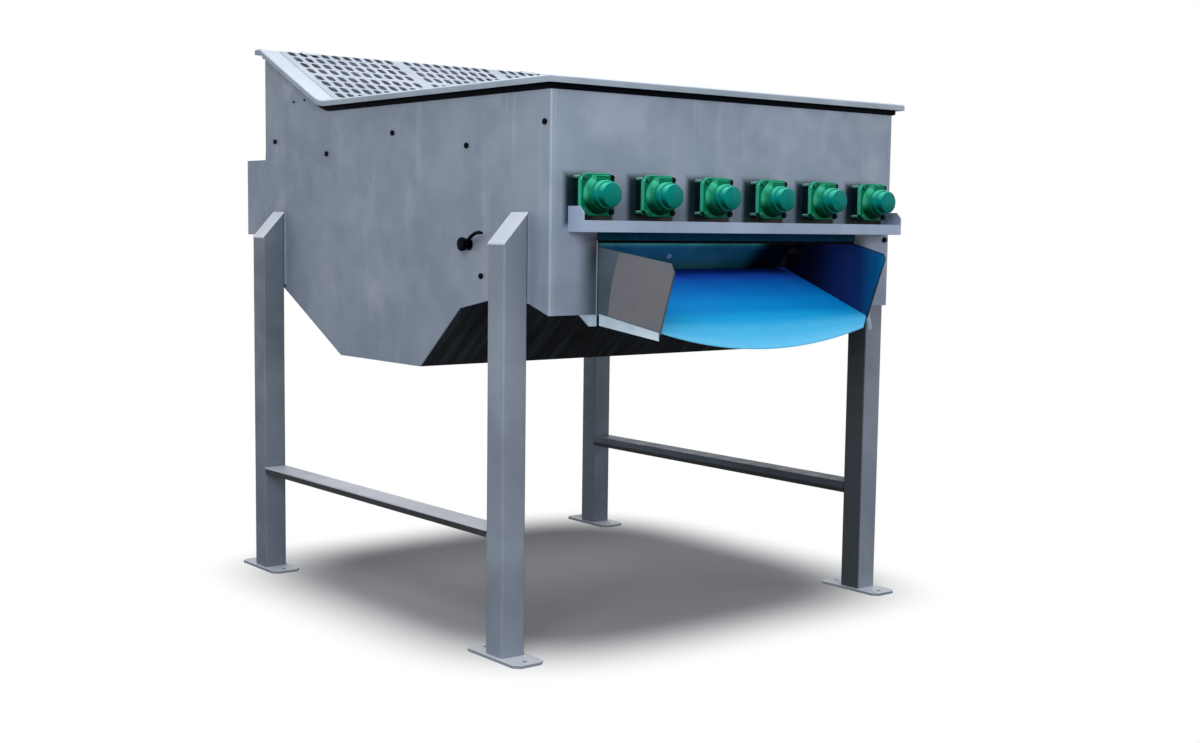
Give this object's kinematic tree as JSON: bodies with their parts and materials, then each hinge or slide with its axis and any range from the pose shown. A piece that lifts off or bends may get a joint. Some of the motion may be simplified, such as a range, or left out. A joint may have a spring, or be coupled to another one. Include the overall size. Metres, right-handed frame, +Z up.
{
  "type": "scroll grader",
  "caption": "Legged steel grader for root crops with side-by-side driven scrolls over a hopper, an outlet chute with a flexible sheet and a perforated hood.",
  "frame": {"origin": "on the floor, midway along the overall length and width", "axes": "+X across the machine, away from the side with the flap's lever; +Y from the motors and chute at the front to the bearings at the rear; +Z up"},
  "size_m": [1.966, 2.5584, 2.2743],
  "materials": {
    "body_steel": "satin",
    "hopper_steel": "satin",
    "scroll_steel": "satin",
    "cap_steel": "satin",
    "motor_green": "gloss",
    "cover_teal": "gloss",
    "zinc": "satin",
    "tray_steel": "satin",
    "cast": "matte",
    "seal_rubber": "matte",
    "cheek_steel": "satin",
    "blue_sheet": "satin",
    "navy_sheet": "satin",
    "hood_paint": "satin",
    "lever_black": "gloss",
    "bush_plastic": "matte"
  },
  "bodies": {
    "body": {"bearing_guard_bolts": "zinc", "brace_left": "body_steel", "brace_right": "body_steel", "cheek_liners": "navy_sheet", "chute_brackets": "cheek_steel", "chute_clamp_bars": "cheek_steel", "chute_floor": "cheek_steel", "chute_left_cheek": "cheek_steel", "chute_liner": "blue_sheet", "chute_right_cheek": "cheek_steel", "flap_bushes": "bush_plastic", "foot_plates": "body_steel", "front_wall": "body_steel", "hinge_barrels_fixed": "body_steel", "hinge_pins": "zinc", "hood_rail": "body_steel", "hopper_front_slope": "hopper_steel", "hopper_rear_slope": "hopper_steel", "left_rear_panel": "body_steel", "left_side_plate": "body_steel", "leg_caps": "cap_steel", "leg_front_left": "body_steel", "leg_front_right": "body_steel", "leg_pads": "body_steel", "leg_rear_left": "body_steel", "leg_rear_right": "body_steel", "motor_blocks": "seal_rubber", "motor_bolts": "zinc", "motor_end_covers": "cover_teal", "motor_housings": "motor_green", "motor_standoffs": "zinc", "motor_tray": "tray_steel", "rear_bearing_guard": "body_steel", "rear_bearings": "cast", "rear_wall": "body_steel", "right_rear_panel": "body_steel", "right_side_plate": "body_steel", "rim_front": "body_steel", "rim_left": "body_steel", "rim_rear": "body_steel", "rim_right": "body_steel", "shaft_seals": "seal_rubber", "side_bolts": "zinc"},
    "scroll_1": {"scroll_1": "scroll_steel"},
    "scroll_2": {"scroll_2": "scroll_steel"},
    "scroll_3": {"scroll_3": "scroll_steel"},
    "scroll_4": {"scroll_4": "scroll_steel"},
    "scroll_5": {"scroll_5": "scroll_steel"},
    "scroll_6": {"scroll_6": "scroll_steel"},
    "flap": {"flap_shaft": "hopper_steel", "divider_flap": "hopper_steel", "flap_lever": "lever_black"},
    "hood": {"hood_guard": "hood_paint", "hinge_barrels_hood": "hood_paint"}
  },
  "joints": [
    {"name": "scroll_1_spin", "type": "hinge", "parent": "body", "child": "scroll_1", "pos_m": [-0.69825, 0, 1.625], "axis": [0, 1, 0], "continuous": true},
    {"name": "scroll_2_spin", "type": "hinge", "parent": "body", "child": "scroll_2", "pos_m": [-0.41895, 0, 1.625], "axis": [0, 1, 0], "continuous": true},
    {"name": "scroll_3_spin", "type": "hinge", "parent": "body", "child": "scroll_3", "pos_m": [-0.13965, 0, 1.625], "axis": [0, 1, 0], "continuous": true},
    {"name": "scroll_4_spin", "type": "hinge", "parent": "body", "child": "scroll_4", "pos_m": [0.13965, 0, 1.625], "axis": [0, 1, 0], "continuous": true},
    {"name": "scroll_5_spin", "type": "hinge", "parent": "body", "child": "scroll_5", "pos_m": [0.41895, 0, 1.625], "axis": [0, 1, 0], "continuous": true},
    {"name": "scroll_6_spin", "type": "hinge", "parent": "body", "child": "scroll_6", "pos_m": [0.69825, 0, 1.625], "axis": [0, 1, 0], "continuous": true},
    {"name": "flap_tilt", "type": "hinge", "parent": "body", "child": "flap", "pos_m": [0, -0.50882, 1.448], "axis": [1, 0, 0], "range_deg": [0, 40]},
    {"name": "hood_open", "type": "hinge", "parent": "body", "child": "hood", "pos_m": [0, 1.14068, 2.26], "axis": [-1, 0, 0], "range_deg": [0, 100]}
  ]
}
